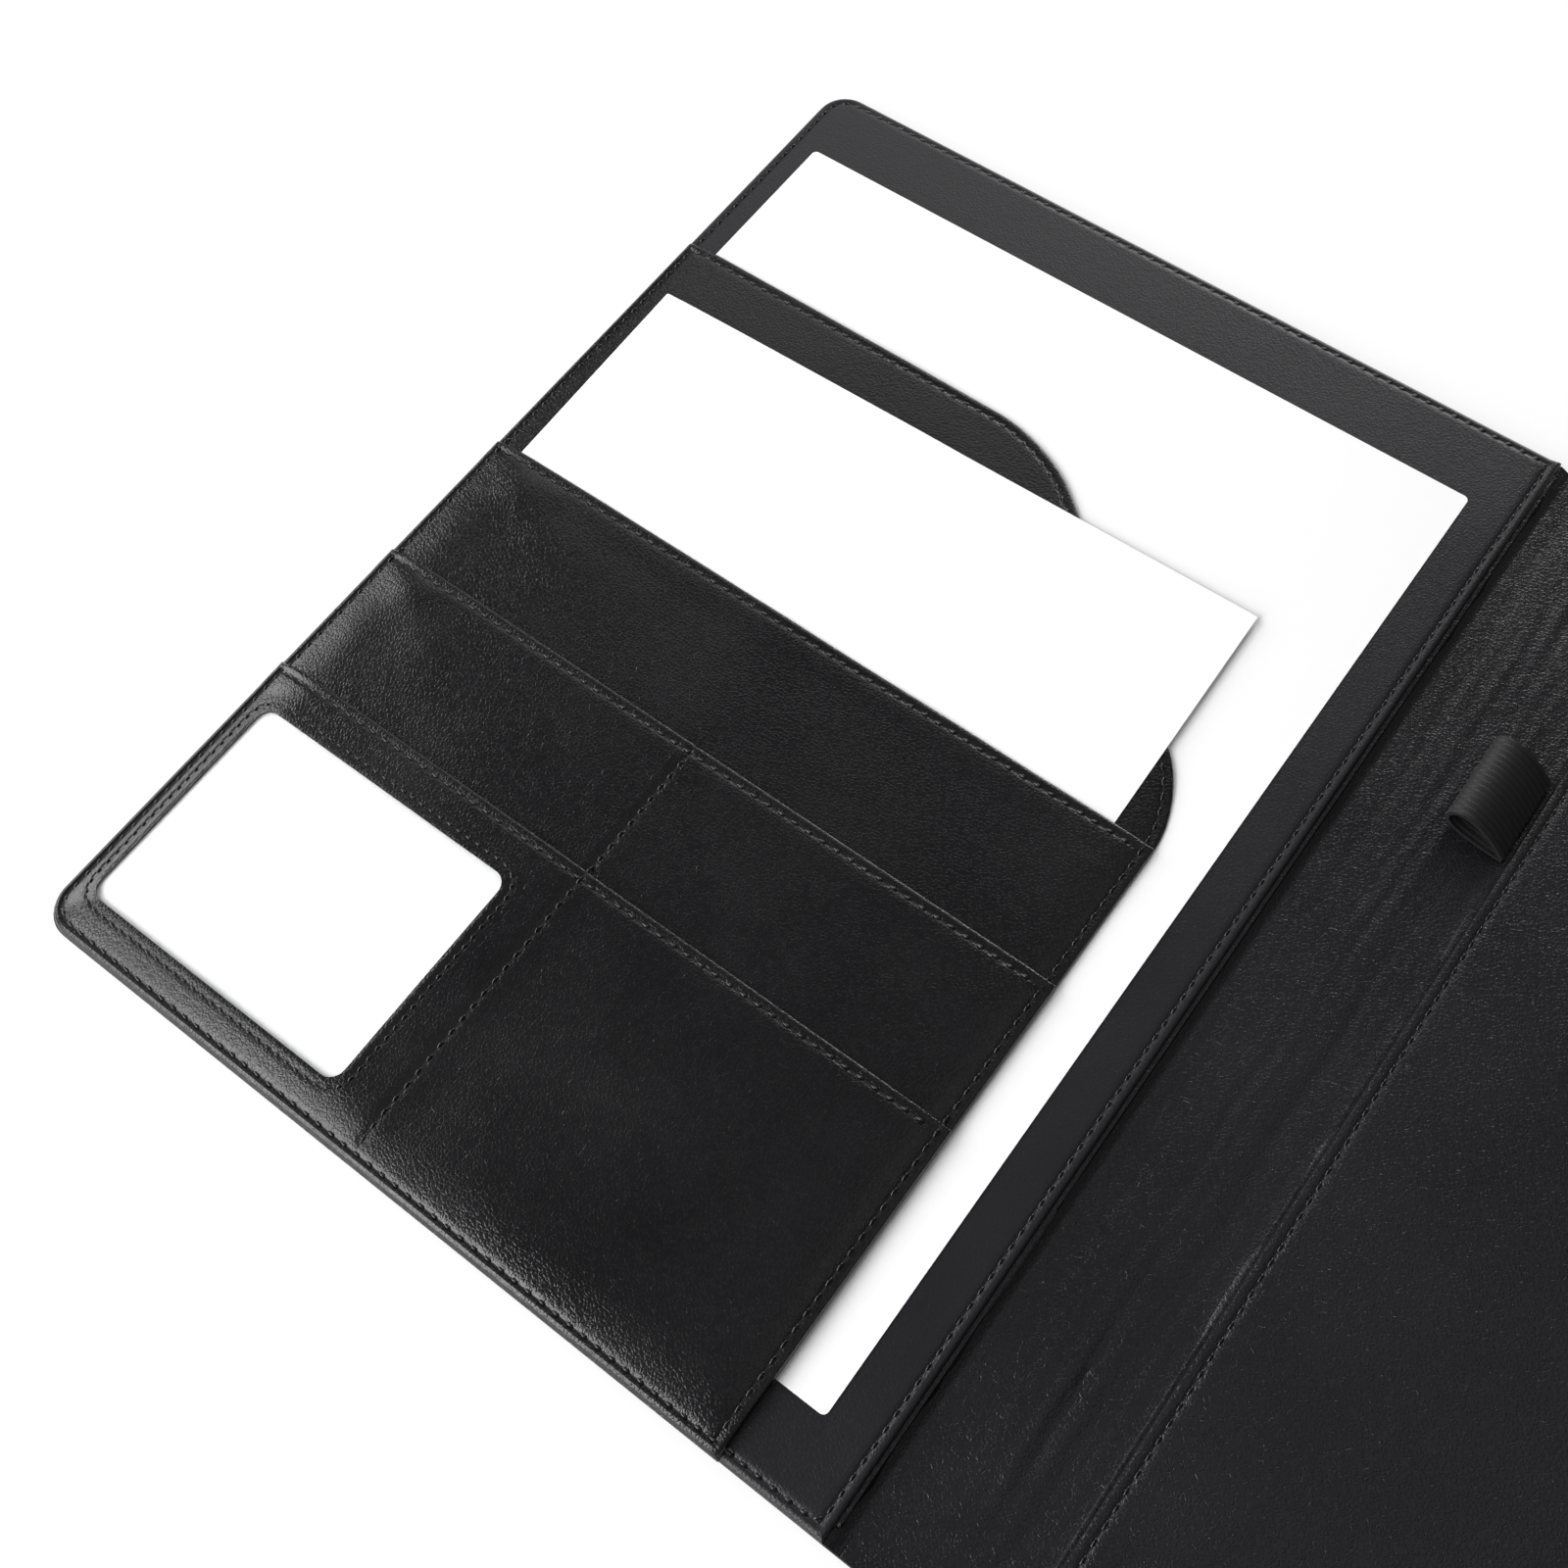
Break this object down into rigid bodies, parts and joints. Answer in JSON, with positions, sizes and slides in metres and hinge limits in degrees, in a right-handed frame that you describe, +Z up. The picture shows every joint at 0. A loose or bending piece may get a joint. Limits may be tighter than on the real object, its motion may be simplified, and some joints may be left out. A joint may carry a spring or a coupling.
{
  "type": "clipboard folder",
  "caption": "Open black leather clipboard folder with a document flap, stepped pockets, a card window, an elastic pen loop and a sprung clip.",
  "frame": {"origin": "middle of the open folder's footprint, on the surface that it lies on", "axes": "+X to the right across the open folder, +Y up the page towards the clip, +Z up"},
  "size_m": [0.5224, 0.334, 0.017],
  "materials": {
    "leather": "satin black leather with a fine creased grain",
    "foam": "soft padding under the outer leather",
    "board": "plain grey board",
    "paper": "blank matte white",
    "film": "clear film",
    "elastic": "ribbed black elastic",
    "nickel_steel": "bright nickel plate",
    "spring_steel": "drawn wire"
  },
  "bodies": {
    "right_cover": {"right_outer_skin": "leather", "right_foam": "foam", "right_board": "board", "right_panel": "leather", "clip_base": "nickel_steel", "clip_pin": "nickel_steel", "clip_spring": "spring_steel", "clip_rivet_left": "nickel_steel", "clip_rivet_right": "nickel_steel"},
    "clip_jaw": {"clip_jaw": "nickel_steel"},
    "spine": {"spine_outer_skin": "leather", "spine_liner": "leather", "pen_loop": "elastic"},
    "left_cover": {"left_outer_skin": "leather", "left_foam": "foam", "left_board": "board", "left_liner": "leather", "letter_sheet": "paper", "document_pocket": "leather", "insert_card": "paper", "wide_pocket": "leather", "card_pocket": "leather", "id_card": "paper", "window_film": "film", "id_pocket": "leather"}
  },
  "joints": [
    {"name": "right_fold", "type": "hinge", "parent": "right_cover", "child": "spine", "pos_m": [0.0212, 0, 0.00475], "axis": [0, 1, 0], "range_deg": [0, 90]},
    {"name": "left_fold", "type": "hinge", "parent": "spine", "child": "left_cover", "pos_m": [-0.0212, 0, 0.00475], "axis": [0, 1, 0], "range_deg": [0, 90]},
    {"name": "clip_hinge", "type": "hinge", "parent": "right_cover", "child": "clip_jaw", "pos_m": [0.1412, 0.141, 0.01075], "axis": [-1, 0, 0], "range_deg": [0, 28], "stiffness_Nm_per_rad": 0.3, "springref_deg": -34.38, "deforming": ["clip_spring"]}
  ]
}
